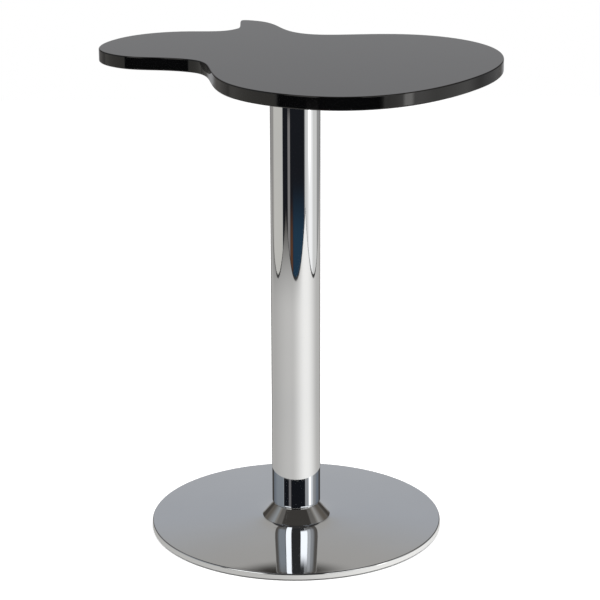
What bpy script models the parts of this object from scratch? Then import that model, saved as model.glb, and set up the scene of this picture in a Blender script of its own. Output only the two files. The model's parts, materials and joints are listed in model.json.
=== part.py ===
"""Guitar-shaped pedestal table: gloss black top, chromed column, collar and round base.

Units are metres, +Z is up, and the origin lies on the floor under the column's axis. The guitar's length runs
along X, with its neck end towards -X and its cutaway on the +Y side. Run it with
blender --background --python part.py, or from the text editor.
"""
import math

import bmesh
import bpy
from mathutils import Vector

# Clearance between pieces that touch or pass through each other
GAP = 0.0003

# Overall height and the top board
TABLE_HEIGHT = 0.748
BOARD_THICKNESS = 0.0196
BOARD_ARRIS = 0.0018

# Guitar outline: its length and greatest width, with that width's distance from the tail
BODY_LENGTH = 0.611
LOWER_BOUT_WIDTH = 0.493
LOWER_BOUT_FROM_TAIL = 0.1905
TAIL_Y = 0.006
NECK_END_Y = -0.030

# Guitar outline: other places as distance from the neck end and from the centre line
TREBLE_WAIST = (0.2255, 0.158)
HORN_CREST = (0.1025, 0.215)
HORN_TIP = (0.0765, 0.201)
CUTAWAY = (0.1095, 0.140)
CUTAWAY_LIP = (0.0625, 0.083)
BASS_UPPER_BOUT = (0.0895, -0.139)
BASS_WAIST = (0.1955, -0.110)
OUTLINE_STEPS = 8

# Mounting plate under the board and its wood screws
PLATE_DIAMETER = 0.240
PLATE_THICKNESS = 0.005
SCREW_EDGE_DISTANCE = 0.020
SCREW_COUNT = 6
SCREW_DIAMETER = 0.0045
SCREW_TIP_COVER = 0.0072
SCREW_HEAD_DIAMETER = 0.009
SCREW_HEAD_HEIGHT = 0.003

# Column tube, the hub in its upper end and the plug in its lower end
COLUMN_DIAMETER = 0.0761
COLUMN_WALL = 0.002
COLUMN_RIM_RADIUS = 0.005
COLUMN_LIP_WIDTH = 0.003
COLUMN_FOOT_HEIGHT = 0.035
HUB_LENGTH = 0.020
PLUG_LENGTH = 0.010

# Tie rod with its nuts and washers, and the pockets that take them
ROD_DIAMETER = 0.012
ROD_PROUD = 0.002
ROD_END_INSET = 0.0012
NUT_WALL = 0.0035
BASE_NUT_HEIGHT = 0.010
TOP_NUT_HEIGHT = 0.006
WASHER_WIDTH = 0.006
WASHER_THICKNESS = 0.0025
SOCKET_CLEARANCE = 0.004
POCKET_SPARE_DEPTH = 0.0015

# Base: chromed cover, cone collar and cast ballast
BASE_DIAMETER = 0.454
RIM_HEIGHT = 0.0107
RIM_LIFT = 0.002
RIM_EDGE_RADIUS = 0.0015
CROWN_RISE = 0.0035
COVER_SHEET = 0.0012
CONE_FLARE = 0.018
CONE_WALL = 0.0026
CONE_SEAT_MARGIN = 0.002
BOSS_BEARING = 0.002
COVER_HOLE_CLEARANCE = 0.001

# Levelling glides
GLIDE_EDGE_DISTANCE = 0.042
GLIDE_COUNT = 4
GLIDE_PAD_DIAMETER = 0.028
GLIDE_PAD_HEIGHT = 0.0035
GLIDE_PAD_EDGE = 0.0008
GLIDE_FLOOR_SKIN = 0.001
GLIDE_STUD_DIAMETER = 0.008
GLIDE_STUD_TOP_INSET = 0.0004

# Facets around the axis: large base pieces, column pieces and small hardware
BASE_STEPS = 64
COLUMN_STEPS = 48
SMALL_STEPS = 16
CROWN_STEPS = 4
ARC_STEPS = 3
SMOOTH_ANGLE = math.radians(32)

# Heights that follow from the sizes above
BOARD_BOTTOM = TABLE_HEIGHT - BOARD_THICKNESS
PLATE_TOP = BOARD_BOTTOM - GAP
PLATE_BOTTOM = PLATE_TOP - PLATE_THICKNESS
COLUMN_TOP = PLATE_BOTTOM - GAP
SCREW_TIP = TABLE_HEIGHT - SCREW_TIP_COVER
BALLAST_BOTTOM = GLIDE_PAD_HEIGHT + GAP
CROWN_TOP = RIM_HEIGHT + CROWN_RISE
BOSS_TOP = COLUMN_FOOT_HEIGHT - GAP

# Stack on the rod's upper end, from the plate upwards
TOP_WASHER_BOTTOM = PLATE_TOP + GAP
TOP_NUT_BOTTOM = TOP_WASHER_BOTTOM + WASHER_THICKNESS + GAP
ROD_TOP = TOP_NUT_BOTTOM + TOP_NUT_HEIGHT + ROD_PROUD
NUT_POCKET_TOP = ROD_TOP + POCKET_SPARE_DEPTH

# Stack on the rod's lower end, from the ballast's underside upwards
ROD_BOTTOM = BALLAST_BOTTOM + ROD_END_INSET
BASE_NUT_BOTTOM = ROD_BOTTOM + ROD_PROUD
BASE_WASHER_BOTTOM = BASE_NUT_BOTTOM + BASE_NUT_HEIGHT + GAP
NUT_RECESS_TOP = BASE_WASHER_BOTTOM + WASHER_THICKNESS + GAP

# Radii that follow from the sizes above
COLUMN_RADIUS = COLUMN_DIAMETER / 2
COLUMN_BORE_RADIUS = COLUMN_RADIUS - COLUMN_WALL
LIP_RADIUS = COLUMN_RADIUS - COLUMN_RIM_RADIUS - COLUMN_LIP_WIDTH
BOSS_RADIUS = LIP_RADIUS + BOSS_BEARING
ROD_RADIUS = ROD_DIAMETER / 2
ROD_HOLE_RADIUS = ROD_RADIUS + GAP
NUT_CORNER_RADIUS = (ROD_RADIUS + NUT_WALL) / math.cos(math.pi / 6)
WASHER_RADIUS = ROD_RADIUS + WASHER_WIDTH
NUT_POCKET_RADIUS = max(NUT_CORNER_RADIUS, WASHER_RADIUS) + SOCKET_CLEARANCE
CONE_TOP_RADIUS = BOSS_RADIUS + GAP + CONE_WALL
CONE_BASE_RADIUS = CONE_TOP_RADIUS + CONE_FLARE
BASE_RADIUS = BASE_DIAMETER / 2
RIM_SHOULDER_RADIUS = BASE_RADIUS - RIM_EDGE_RADIUS
COVER_INNER_RADIUS = BASE_RADIUS - COVER_SHEET
BALLAST_RADIUS = COVER_INNER_RADIUS - GAP
CROWN_FLAT_RADIUS = CONE_BASE_RADIUS + CONE_SEAT_MARGIN
COVER_HOLE_RADIUS = BOSS_RADIUS + COVER_HOLE_CLEARANCE
SCREW_CIRCLE_RADIUS = PLATE_DIAMETER / 2 - SCREW_EDGE_DISTANCE
SCREW_RADIUS = SCREW_DIAMETER / 2
SCREW_HEAD_RADIUS = SCREW_HEAD_DIAMETER / 2
SCREW_HOLE_RADIUS = SCREW_RADIUS + GAP
GLIDE_CIRCLE_RADIUS = BASE_RADIUS - GLIDE_EDGE_DISTANCE
GLIDE_PAD_RADIUS = GLIDE_PAD_DIAMETER / 2
STUD_RADIUS = GLIDE_STUD_DIAMETER / 2
STUD_HOLE_RADIUS = STUD_RADIUS + GAP


def clear_scene():
    for old in list(bpy.data.objects):
        bpy.data.objects.remove(old, do_unlink=True)


def make_collection(name):
    collection = bpy.data.collections.new(name)
    bpy.context.scene.collection.children.link(collection)
    return collection


def make_material(name, colour, roughness, metallic):
    material = bpy.data.materials.new(name)
    material.use_nodes = True
    shader = material.node_tree.nodes["Principled BSDF"]
    shader.inputs["Base Color"].default_value = (*colour, 1.0)
    shader.inputs["Roughness"].default_value = roughness
    shader.inputs["Metallic"].default_value = metallic
    return material


def add_object(name, data, material, collection):
    obj = bpy.data.objects.new(name, data)
    obj.data.materials.append(material)
    collection.objects.link(obj)
    return obj


def settle(obj):
    """Replace an object by its evaluated mesh, welded and shaded smooth between its sharp edges."""
    bpy.context.view_layer.update()
    evaluated = obj.evaluated_get(bpy.context.evaluated_depsgraph_get())
    mesh = bpy.data.meshes.new_from_object(evaluated)
    form = bmesh.new()
    form.from_mesh(mesh)
    bmesh.ops.remove_doubles(form, verts=form.verts, dist=1e-6)
    form.to_mesh(mesh)
    form.free()
    mesh.shade_smooth()
    mesh.set_sharp_from_angle(angle=SMOOTH_ANGLE)
    name = obj.name
    place = obj.matrix_world.copy()
    collection = obj.users_collection[0]
    bpy.data.objects.remove(obj, do_unlink=True)
    settled = bpy.data.objects.new(name, mesh)
    settled.matrix_world = place
    collection.objects.link(settled)
    return settled


def turned(name, profile, steps, material, collection):
    """A profile of (radius, height) points, listed down its outer side, turned about Z.

    A profile that starts on the axis also ends there and makes a solid. Any other is a closed loop and makes
    a ring.
    """
    mesh = bpy.data.meshes.new(name)
    points = [(radius, 0.0, height) for radius, height in profile]
    edges = [(i, i + 1) for i in range(len(points) - 1)]
    if profile[0][0] > 0:
        edges.append((len(points) - 1, 0))
    mesh.from_pydata(points, edges, [])
    obj = add_object(name, mesh, material, collection)
    screw = obj.modifiers.new("turn", "SCREW")
    screw.axis = "Z"
    screw.angle = 2 * math.pi
    screw.steps = steps
    screw.render_steps = steps
    screw.use_merge_vertices = True
    screw.merge_threshold = 1e-6
    return settle(obj)


def flat_curve(name, low, high, material, collection):
    """An empty 2D curve that fills its outlines and spans two heights."""
    curve = bpy.data.curves.new(name, "CURVE")
    curve.dimensions = "2D"
    curve.fill_mode = "BOTH"
    curve.extrude = (high - low) / 2
    obj = add_object(name, curve, material, collection)
    obj.location.z = (high + low) / 2
    return obj


def add_loop(curve, points):
    spline = curve.splines.new("POLY")
    spline.points.add(len(points) - 1)
    for point, (x, y) in zip(spline.points, points):
        point.co = (x, y, 0.0, 1.0)
    spline.use_cyclic_u = True


def ring_points(radius, count, centre=(0.0, 0.0), start=0.0):
    turn = 2 * math.pi / count
    return [
        (centre[0] + radius * math.cos(start + i * turn), centre[1] + radius * math.sin(start + i * turn))
        for i in range(count)
    ]


def arc_line(centre_radius, centre_height, radius, start, end):
    """Points of an arc in the turning plane, angles in degrees from the outward direction."""
    angles = [math.radians(start + (end - start) * i / ARC_STEPS) for i in range(ARC_STEPS + 1)]
    return [(centre_radius + radius * math.cos(a), centre_height + radius * math.sin(a)) for a in angles]


def drill(target, x, y, low, high, radius, cutters):
    """Cut an upright round hole between two heights."""
    form = bmesh.new()
    bmesh.ops.create_cone(
        form, cap_ends=True, segments=SMALL_STEPS, radius1=radius, radius2=radius, depth=high - low
    )
    mesh = bpy.data.meshes.new(target.name + "_hole")
    form.to_mesh(mesh)
    form.free()
    cutter = bpy.data.objects.new(target.name + "_hole", mesh)
    cutter.location = (x, y, (low + high) / 2)
    cutter.hide_render = True
    cutter.display_type = "WIRE"
    cutters.objects.link(cutter)
    cut = target.modifiers.new("hole", "BOOLEAN")
    cut.operation = "DIFFERENCE"
    cut.object = cutter


def screw_places():
    return ring_points(SCREW_CIRCLE_RADIUS, SCREW_COUNT, start=math.pi / SCREW_COUNT)


def glide_places():
    return ring_points(GLIDE_CIRCLE_RADIUS, GLIDE_COUNT, start=math.pi / GLIDE_COUNT)


def outline_nodes():
    """Nodes of the guitar outline, counter-clockwise from the tail.

    Each has its place, the heading of travel in degrees, and its handles before and after as shares of the
    distance to the neighbouring node.
    """
    half_length = BODY_LENGTH / 2
    half_width = LOWER_BOUT_WIDTH / 2
    lower_bout_x = half_length - LOWER_BOUT_FROM_TAIL

    def from_neck(place):
        return (place[0] - half_length, place[1])

    return [
        ((half_length, TAIL_Y), 90, 0.459, 0.473),
        ((lower_bout_x, half_width), 180, 0.342, 0.457),
        (from_neck(TREBLE_WAIST), 180, 0.257, 0.390),
        (from_neck(HORN_CREST), 180, 0.339, 0.474),
        (from_neck(HORN_TIP), 299, 0.440, 0.360),
        (from_neck(CUTAWAY), 270, 0.202, 0.433),
        (from_neck(CUTAWAY_LIP), 212, 0.474, 0.287),
        ((-half_length, NECK_END_Y), 270, 0.419, 0.489),
        (from_neck(BASS_UPPER_BOUT), 0, 0.368, 0.318),
        (from_neck(BASS_WAIST), 0, 0.418, 0.232),
        ((lower_bout_x, -half_width), 0, 0.533, 0.433),
    ]


def crown_height(radius):
    """Height of the cover's upper face: level round the collar, then falling ever faster to the rim."""
    share = (radius - CROWN_FLAT_RADIUS) / (RIM_SHOULDER_RADIUS - CROWN_FLAT_RADIUS)
    share = min(max(share, 0.0), 1.0)
    return RIM_HEIGHT + CROWN_RISE * (1 - share * share)


def crown_line(outer_radius, drop):
    """Points of the crown from its outer radius in to the level part, lowered by a drop."""
    span = outer_radius - CROWN_FLAT_RADIUS
    radii = [outer_radius - span * i / CROWN_STEPS for i in range(CROWN_STEPS + 1)]
    return [(radius, crown_height(radius) - drop) for radius in radii]


def make_top_board(parts, cutters):
    lacquer = make_material("gloss_black_lacquer", (0.006, 0.006, 0.007), 0.08, 0.0)
    board = flat_curve("top_board", BOARD_BOTTOM + BOARD_ARRIS, TABLE_HEIGHT - BOARD_ARRIS, lacquer, parts)
    curve = board.data
    curve.bevel_depth = BOARD_ARRIS
    curve.bevel_resolution = 1
    curve.offset = -BOARD_ARRIS
    curve.resolution_u = OUTLINE_STEPS
    nodes = outline_nodes()
    spline = curve.splines.new("BEZIER")
    spline.bezier_points.add(len(nodes) - 1)
    for i, (place, heading, before, after) in enumerate(nodes):
        here = Vector((*place, 0.0))
        previous = Vector((*nodes[i - 1][0], 0.0))
        following = Vector((*nodes[(i + 1) % len(nodes)][0], 0.0))
        travel = Vector((math.cos(math.radians(heading)), math.sin(math.radians(heading)), 0.0))
        point = spline.bezier_points[i]
        point.co = here
        point.handle_left_type = "FREE"
        point.handle_right_type = "FREE"
        point.handle_left = here - before * (here - previous).length * travel
        point.handle_right = here + after * (following - here).length * travel
    spline.use_cyclic_u = True
    board = settle(board)
    below = BOARD_BOTTOM - BOARD_THICKNESS
    drill(board, 0.0, 0.0, below, NUT_POCKET_TOP, NUT_POCKET_RADIUS, cutters)
    for x, y in screw_places():
        drill(board, x, y, below, SCREW_TIP + GAP, SCREW_HOLE_RADIUS, cutters)


def make_mounting_plate(parts):
    steel = make_material("black_painted_steel", (0.020, 0.020, 0.021), 0.45, 0.0)
    plate = flat_curve("mounting_plate", PLATE_BOTTOM, PLATE_TOP, steel, parts)
    add_loop(plate.data, ring_points(PLATE_DIAMETER / 2, BASE_STEPS))
    add_loop(plate.data, ring_points(ROD_HOLE_RADIUS, SMALL_STEPS))
    for place in screw_places():
        add_loop(plate.data, ring_points(SCREW_HOLE_RADIUS, SMALL_STEPS, centre=place))
    settle(plate)


def make_mounting_screws(parts):
    """Pan-head wood screws, driven up through the plate."""
    zinc = make_material("zinc_plated_steel", (0.62, 0.62, 0.60), 0.32, 1.0)
    seat = PLATE_BOTTOM - GAP
    profile = [
        (0.0, SCREW_TIP),
        (SCREW_RADIUS, SCREW_TIP - SCREW_DIAMETER),
        (SCREW_RADIUS, seat),
        (SCREW_HEAD_RADIUS, seat),
        (SCREW_HEAD_RADIUS, seat - SCREW_HEAD_HEIGHT / 2),
        (SCREW_RADIUS, seat - SCREW_HEAD_HEIGHT),
        (0.0, seat - SCREW_HEAD_HEIGHT),
    ]
    for number, (x, y) in enumerate(screw_places(), start=1):
        screw = turned("mounting_screw_%d" % number, profile, SMALL_STEPS, zinc, parts)
        screw.location = (x, y, 0.0)


def make_column(parts):
    chrome = make_material("column_chrome", (0.86, 0.87, 0.88), 0.04, 1.0)
    rim_centre = COLUMN_RADIUS - COLUMN_RIM_RADIUS
    rim_height = COLUMN_FOOT_HEIGHT + COLUMN_RIM_RADIUS
    profile = [(COLUMN_RADIUS, COLUMN_TOP)]
    profile += arc_line(rim_centre, rim_height, COLUMN_RIM_RADIUS, 0, -90)
    profile += [(LIP_RADIUS, COLUMN_FOOT_HEIGHT), (LIP_RADIUS, COLUMN_FOOT_HEIGHT + COLUMN_WALL)]
    profile += arc_line(rim_centre, rim_height, COLUMN_RIM_RADIUS - COLUMN_WALL, -90, 0)
    profile += [(COLUMN_BORE_RADIUS, COLUMN_TOP)]
    turned("column_tube", profile, COLUMN_STEPS, chrome, parts)


def make_column_ends(parts):
    steel = make_material("bare_steel", (0.50, 0.50, 0.51), 0.40, 1.0)
    outer = COLUMN_BORE_RADIUS - GAP
    hub_bottom = COLUMN_TOP - HUB_LENGTH
    hub = [
        (outer, COLUMN_TOP),
        (outer, hub_bottom),
        (ROD_HOLE_RADIUS, hub_bottom),
        (ROD_HOLE_RADIUS, COLUMN_TOP),
    ]
    turned("column_hub", hub, COLUMN_STEPS, steel, parts)
    chamfer = COLUMN_RIM_RADIUS - COLUMN_WALL
    plug_bottom = COLUMN_FOOT_HEIGHT + COLUMN_WALL + GAP
    plug_top = plug_bottom + PLUG_LENGTH
    plug = [
        (outer, plug_top),
        (outer, plug_bottom + chamfer),
        (outer - chamfer, plug_bottom),
        (ROD_HOLE_RADIUS, plug_bottom),
        (ROD_HOLE_RADIUS, plug_top),
    ]
    turned("column_foot_plug", plug, COLUMN_STEPS, steel, parts)


def make_tie_rod(parts):
    zinc = make_material("tie_rod_zinc", (0.60, 0.60, 0.57), 0.35, 1.0)
    profile = [(0.0, ROD_TOP), (ROD_RADIUS, ROD_TOP), (ROD_RADIUS, ROD_BOTTOM), (0.0, ROD_BOTTOM)]
    turned("tie_rod", profile, SMALL_STEPS, zinc, parts)
    nuts = [
        ("tie_rod_top_nut", TOP_NUT_BOTTOM, TOP_NUT_HEIGHT),
        ("tie_rod_base_nut", BASE_NUT_BOTTOM, BASE_NUT_HEIGHT),
    ]
    for name, low, height in nuts:
        nut = flat_curve(name, low, low + height, zinc, parts)
        add_loop(nut.data, ring_points(NUT_CORNER_RADIUS, 6))
        add_loop(nut.data, ring_points(ROD_HOLE_RADIUS, SMALL_STEPS))
        settle(nut)
    washers = [("tie_rod_top_washer", TOP_WASHER_BOTTOM), ("tie_rod_base_washer", BASE_WASHER_BOTTOM)]
    for name, low in washers:
        washer = flat_curve(name, low, low + WASHER_THICKNESS, zinc, parts)
        add_loop(washer.data, ring_points(WASHER_RADIUS, SMALL_STEPS))
        add_loop(washer.data, ring_points(ROD_HOLE_RADIUS, SMALL_STEPS))
        settle(washer)


def make_cone_collar(parts):
    chrome = make_material("collar_chrome", (0.80, 0.80, 0.80), 0.06, 1.0)
    seat = CROWN_TOP + GAP
    profile = [
        (CONE_TOP_RADIUS, BOSS_TOP),
        (CONE_BASE_RADIUS, seat),
        (CONE_BASE_RADIUS - CONE_WALL, seat),
        (CONE_TOP_RADIUS - CONE_WALL, BOSS_TOP),
    ]
    turned("cone_collar", profile, COLUMN_STEPS, chrome, parts)


def make_base_cover(parts):
    chrome = make_material("base_chrome", (0.80, 0.81, 0.83), 0.07, 1.0)
    edge = arc_line(RIM_SHOULDER_RADIUS, RIM_HEIGHT - RIM_EDGE_RADIUS, RIM_EDGE_RADIUS, 90, 0)
    profile = [(COVER_HOLE_RADIUS, CROWN_TOP)]
    profile += reversed(crown_line(RIM_SHOULDER_RADIUS, 0.0))
    profile += edge[1:]
    profile += [(BASE_RADIUS, RIM_LIFT), (COVER_INNER_RADIUS, RIM_LIFT)]
    profile += crown_line(COVER_INNER_RADIUS, COVER_SHEET)
    profile += [(COVER_HOLE_RADIUS, CROWN_TOP - COVER_SHEET)]
    turned("base_cover", profile, BASE_STEPS, chrome, parts)


def make_base_ballast(parts, cutters):
    iron = make_material("cast_iron", (0.045, 0.045, 0.047), 0.75, 0.0)
    drop = COVER_SHEET + GAP
    profile = [(ROD_HOLE_RADIUS, BOSS_TOP), (BOSS_RADIUS, BOSS_TOP), (BOSS_RADIUS, CROWN_TOP - drop)]
    profile += reversed(crown_line(BALLAST_RADIUS, drop))
    profile += [
        (BALLAST_RADIUS, BALLAST_BOTTOM),
        (NUT_POCKET_RADIUS, BALLAST_BOTTOM),
        (NUT_POCKET_RADIUS, NUT_RECESS_TOP),
        (ROD_HOLE_RADIUS, NUT_RECESS_TOP),
    ]
    ballast = turned("base_ballast", profile, BASE_STEPS, iron, parts)
    for x, y in glide_places():
        drill(ballast, x, y, 0.0, BOSS_TOP, STUD_HOLE_RADIUS, cutters)


def make_glides(parts):
    """Each stud sits in its pad's socket, and both stand on the stud's own axis."""
    zinc = make_material("glide_stud_zinc", (0.60, 0.60, 0.58), 0.35, 1.0)
    nylon = make_material("black_nylon", (0.012, 0.012, 0.012), 0.55, 0.0)
    stud_top = crown_height(GLIDE_CIRCLE_RADIUS + STUD_RADIUS) - COVER_SHEET - GLIDE_STUD_TOP_INSET
    stud_bottom = GLIDE_FLOOR_SKIN + GAP
    stud = [(0.0, stud_top), (STUD_RADIUS, stud_top), (STUD_RADIUS, stud_bottom), (0.0, stud_bottom)]
    pad = [
        (0.0, GLIDE_FLOOR_SKIN),
        (STUD_HOLE_RADIUS, GLIDE_FLOOR_SKIN),
        (STUD_HOLE_RADIUS, GLIDE_PAD_HEIGHT),
        (GLIDE_PAD_RADIUS, GLIDE_PAD_HEIGHT),
        (GLIDE_PAD_RADIUS, GLIDE_PAD_EDGE),
        (GLIDE_PAD_RADIUS - GLIDE_PAD_EDGE, 0.0),
        (0.0, 0.0),
    ]
    for number, (x, y) in enumerate(glide_places(), start=1):
        axis = bpy.data.objects.new("glide_axis_%d" % number, None)
        axis.location = (x, y, 0.0)
        parts.objects.link(axis)
        turned("levelling_stud_%d" % number, stud, SMALL_STEPS, zinc, parts).parent = axis
        turned("levelling_pad_%d" % number, pad, SMALL_STEPS, nylon, parts).parent = axis


def main():
    clear_scene()
    parts = make_collection("guitar_table")
    cutters = make_collection("guitar_table_cutters")
    make_top_board(parts, cutters)
    make_mounting_plate(parts)
    make_mounting_screws(parts)
    make_column(parts)
    make_column_ends(parts)
    make_tie_rod(parts)
    make_cone_collar(parts)
    make_base_cover(parts)
    make_base_ballast(parts, cutters)
    make_glides(parts)


main()
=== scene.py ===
"""Looks of the guitar-shaped pedestal table: finer pieces, finishes, studio and camera.

Units are metres in the part's own frame: +Z up, origin on the floor under the column's axis, the guitar's
neck end towards -X and its cutaway on the +Y side.
"""
import json
import math

import bmesh
import bpy
from mathutils import Matrix, Vector


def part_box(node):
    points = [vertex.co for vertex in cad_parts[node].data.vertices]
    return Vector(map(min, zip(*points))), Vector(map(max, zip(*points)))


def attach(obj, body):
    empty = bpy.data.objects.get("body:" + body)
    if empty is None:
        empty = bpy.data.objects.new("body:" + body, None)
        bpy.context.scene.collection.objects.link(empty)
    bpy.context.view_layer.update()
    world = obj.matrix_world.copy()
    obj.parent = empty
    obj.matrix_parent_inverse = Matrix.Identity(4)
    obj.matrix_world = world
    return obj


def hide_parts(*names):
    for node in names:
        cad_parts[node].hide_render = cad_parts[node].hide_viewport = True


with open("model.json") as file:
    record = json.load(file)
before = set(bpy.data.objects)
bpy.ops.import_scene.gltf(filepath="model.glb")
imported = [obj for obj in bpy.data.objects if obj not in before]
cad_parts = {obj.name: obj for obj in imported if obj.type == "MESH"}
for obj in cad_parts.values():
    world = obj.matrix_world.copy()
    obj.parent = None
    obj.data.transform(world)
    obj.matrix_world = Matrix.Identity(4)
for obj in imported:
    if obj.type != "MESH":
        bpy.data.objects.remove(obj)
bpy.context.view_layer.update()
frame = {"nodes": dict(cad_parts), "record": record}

# Camera: its place in the studio, whose -Y side faces the table's front, and its aim in radians
CAMERA_PLACE = (-0.05208, -3.24417, 1.37211)
CAMERA_PITCH = 0.300405
CAMERA_YAW = 0.0181
CAMERA_ROLL = -0.002385
CAMERA_LENS = 132.686
CAMERA_SENSOR = 36.0
STUDIO_TURN = math.radians(33.0)

# Facets around the axis: large base pieces, column pieces and small hardware
BASE_STEPS = 288
COLUMN_STEPS = 192
SMALL_STEPS = 48
ARC_STEPS = 8
HALF_STEP = 0.5
SMOOTH_ANGLE = math.radians(30)

# Straight runs longer than this get a ring close to each end, so that smooth shading stays at their corners
LONG_RUN = 0.0075
RUN_SUPPORT = 0.0006

# Clearance between pieces that touch or pass through each other
GAP = 0.0003

# How far a drill stands out of the hole that it cuts
DRILL_SPARE = 0.0075

# Points that a cut leaves closer together than this become one
WELD_DISTANCE = 0.000002

# Flat crest of a thread ring, as shares of its pitch
CREST_START = 0.4
CREST_END = 0.6

# Guitar outline, as distance from the neck end and from the centre line
LOWER_BOUT_FROM_TAIL = 0.1905
TAIL_Y = 0.006
NECK_END_Y = -0.030
TREBLE_WAIST = (0.2255, 0.158)
HORN_CREST = (0.1025, 0.215)
HORN_TIP = (0.0765, 0.201)
CUTAWAY = (0.1095, 0.140)
CUTAWAY_LIP = (0.0625, 0.083)
BASS_UPPER_BOUT = (0.0895, -0.139)
BASS_WAIST = (0.1955, -0.110)
OUTLINE_STEPS = 40
BOARD_ARRIS = 0.0018

# Mounting plate and its screws
PLATE_EDGE = 0.0008
SCREW_COUNT = 6
SCREW_RADIUS = 0.00225
SCREW_THREAD_DEPTH = 0.00065
SCREW_PITCH = 0.0018
SCREW_PLAIN_LENGTH = 0.0056
SCREW_POINT_LENGTH = 2 * SCREW_RADIUS
SCREW_HEAD_HEIGHT = 0.003
SCREW_HEAD_WALL = 0.0007
RECESS_WIDTH = 0.0011
RECESS_LENGTH = 0.0048
RECESS_DEPTH = 0.0016

# Tie rod, nuts and washers
ROD_CHAMFER = 0.0008
ROD_THREAD_LENGTH = 0.016
ROD_THREAD_DEPTH = 0.0009
ROD_PITCH = 0.00175
NUT_SIDES = 6
NUT_CHAMFER = 0.0012
NUT_CHAMFER_ANGLE = math.radians(30)
WASHER_EDGE = 0.0004
SOCKET_CLEARANCE = 0.004
POCKET_SPARE_DEPTH = 0.0015

# Column rim, collar, base cover and ballast
COLUMN_RIM_RADIUS = 0.005
COLUMN_LIP_WIDTH = 0.003
COLUMN_WALL = 0.002
BOSS_BEARING = 0.002
CONE_WALL = 0.0026
CONE_SEAT_MARGIN = 0.002
RIM_HEIGHT = 0.0107
RIM_EDGE_RADIUS = 0.0022
COVER_SHEET = 0.0012
COVER_HOLE_CLEARANCE = 0.001
CROWN_RINGS = 28
BALLAST_EDGE = 0.0012

# Levelling glides
GLIDE_COUNT = 4
GLIDE_PITCH = 0.00125
GLIDE_THREAD_DEPTH = 0.0006
GLIDE_PAD_EDGE = 0.0008
GLIDE_FLOOR_SKIN = 0.001

# Sizes that follow from the frame
COLUMN_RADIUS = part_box("column_tube")[1].x
BOSS_RADIUS = COLUMN_RADIUS - COLUMN_RIM_RADIUS - COLUMN_LIP_WIDTH + BOSS_BEARING
ROD_HOLE_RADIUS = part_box("tie_rod")[1].x + GAP
POCKET_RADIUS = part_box("tie_rod_top_washer")[1].x + SOCKET_CLEARANCE
COLLAR_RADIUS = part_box("cone_collar")[1].x
BASE_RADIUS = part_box("base_cover")[1].x
CROWN_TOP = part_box("base_cover")[1].z
CROWN_FLAT_RADIUS = COLLAR_RADIUS + CONE_SEAT_MARGIN
RIM_SHOULDER = BASE_RADIUS - RIM_EDGE_RADIUS

# Nodes that come in numbers
SCREW_NODES = ["mounting_screw_%d" % (i + 1) for i in range(SCREW_COUNT)]
STUD_NODES = ["levelling_stud_%d" % (i + 1) for i in range(GLIDE_COUNT)]
PAD_NODES = ["levelling_pad_%d" % (i + 1) for i in range(GLIDE_COUNT)]
GLIDE_BODIES = ["glide_%d" % (i + 1) for i in range(GLIDE_COUNT)]


# Mesh helpers

def add_piece(name, mesh, finishes, slot, node, body="table"):
    """Link a mesh as a piece that takes a slot's finish, stands for a CAD node and rides on a body."""
    piece = bpy.data.objects.new(name, mesh)
    bpy.context.scene.collection.objects.link(piece)
    mesh.materials.clear()
    mesh.materials.append(finishes[slot])
    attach(piece, body)
    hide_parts(node)


def shade(mesh):
    """Shade a mesh smooth between its sharp edges."""
    mesh.shade_smooth()
    mesh.set_sharp_from_angle(angle=SMOOTH_ANGLE)
    return mesh


def finish_mesh(name, form):
    """Turn a form into a shaded mesh whose faces look outwards."""
    bmesh.ops.recalc_face_normals(form, faces=form.faces)
    mesh = bpy.data.meshes.new(name)
    form.to_mesh(mesh)
    form.free()
    return shade(mesh)


def supported(profile):
    """Add points close to the ends of long straight runs."""
    points = []
    for start, end in zip(profile, profile[1:]):
        points.append(start)
        run = Vector(end) - Vector(start)
        if run.length > LONG_RUN:
            step = run.normalized() * RUN_SUPPORT
            points.append(tuple(Vector(start) + step))
            points.append(tuple(Vector(end) - step))
    points.append(profile[-1])
    return points


def turned(name, profile, steps, x=0.0, y=0.0, start=0.0):
    """Turn (radius, height) points about an upright axis, the first ring point at a share of a step.

    A profile that starts on the axis also ends there and makes a solid; any other makes a closed ring.
    """
    form = bmesh.new()
    angles = [2 * math.pi * (i + start) / steps for i in range(steps)]
    rings = []
    for radius, height in supported(profile):
        if radius == 0.0:
            places = [(x, y, height)]
        else:
            places = [(x + radius * math.cos(a), y + radius * math.sin(a), height) for a in angles]
        rings.append([form.verts.new(place) for place in places])
    pairs = list(zip(rings, rings[1:]))
    if profile[0][0] > 0.0:
        pairs.append((rings[-1], rings[0]))
    for first, second in pairs:
        for i in range(steps):
            j = (i + 1) % steps
            corners = [first[i % len(first)], first[j % len(first)]]
            corners += [second[j % len(second)], second[i % len(second)]]
            form.faces.new(list(dict.fromkeys(corners)))
    return finish_mesh(name, form)


def arc_line(centre_radius, centre_height, radius, start, end):
    """Points of an arc in the turning plane, angles in degrees from the outward direction."""
    angles = [math.radians(start + (end - start) * i / ARC_STEPS) for i in range(ARC_STEPS + 1)]
    return [(centre_radius + radius * math.cos(a), centre_height + radius * math.sin(a)) for a in angles]


def rounded_side(radius, low, high, edge):
    """Points down the side of a disc between two heights, with both edges rounded."""
    inset = radius - edge
    return arc_line(inset, high - edge, edge, 90, 0) + arc_line(inset, low + edge, edge, 0, -90)


def thread_line(crest, depth, pitch, high, low):
    """Points down the outside of a thread between two heights, drawn as rings."""
    turns = max(1, round((high - low) / pitch))
    step = (high - low) / turns
    points = []
    for i in range(turns):
        top = high - i * step
        points.append((crest - depth, top))
        points.append((crest, top - step * CREST_START))
        points.append((crest, top - step * CREST_END))
    points.append((crest - depth, low))
    return points


def node_axis(node):
    """Where the upright axis of a round node stands."""
    low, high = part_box(node)
    return (low.x + high.x) / 2, (low.y + high.y) / 2


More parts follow.
